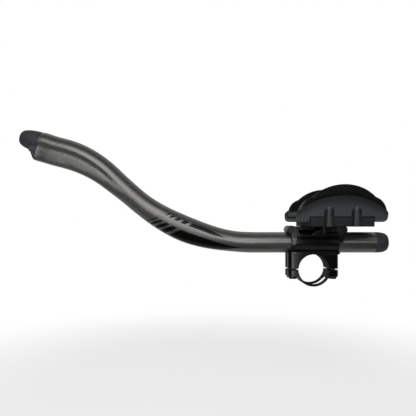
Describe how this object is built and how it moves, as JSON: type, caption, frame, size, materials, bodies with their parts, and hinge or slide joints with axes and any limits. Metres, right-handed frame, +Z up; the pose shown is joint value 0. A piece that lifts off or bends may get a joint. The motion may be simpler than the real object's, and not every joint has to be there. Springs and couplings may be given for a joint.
{
  "type": "aero handlebar extension",
  "caption": "Clip-on aero bar extension: a bent hollow tube with end plugs in a split handlebar clamp, with a padded forearm cup above the clamp.",
  "frame": {"origin": "middle of the handlebar clamp's bore, on its axis", "axes": "+X back towards the rider, along the tube's straight run; +Y inboard, along the handlebar; +Z up"},
  "size_m": [0.3965, 0.0962, 0.1675],
  "materials": {
    "gunmetal": "satin gunmetal",
    "plug_rubber": "matt",
    "black_alloy": "black anodised",
    "bolt_steel": "black oxide",
    "slate_plastic": "fine moulded grain",
    "pad_fabric": "knit over foam",
    "hook_tape": "hook tape"
  },
  "bodies": {
    "root": {"extension_tube": "gunmetal", "front_plug": "plug_rubber", "rear_plug": "plug_rubber", "clamp_body": "black_alloy", "bar_strap": "black_alloy", "strap_bolts": "bolt_steel", "pinch_bolts": "bolt_steel", "armrest_bolts": "bolt_steel", "armrest_washers": "bolt_steel", "armrest_cup": "slate_plastic", "armrest_pad": "pad_fabric", "tape_front": "hook_tape", "tape_rear": "hook_tape", "tape_outer": "hook_tape", "tape_inner": "hook_tape"}
  },
  "joints": []
}
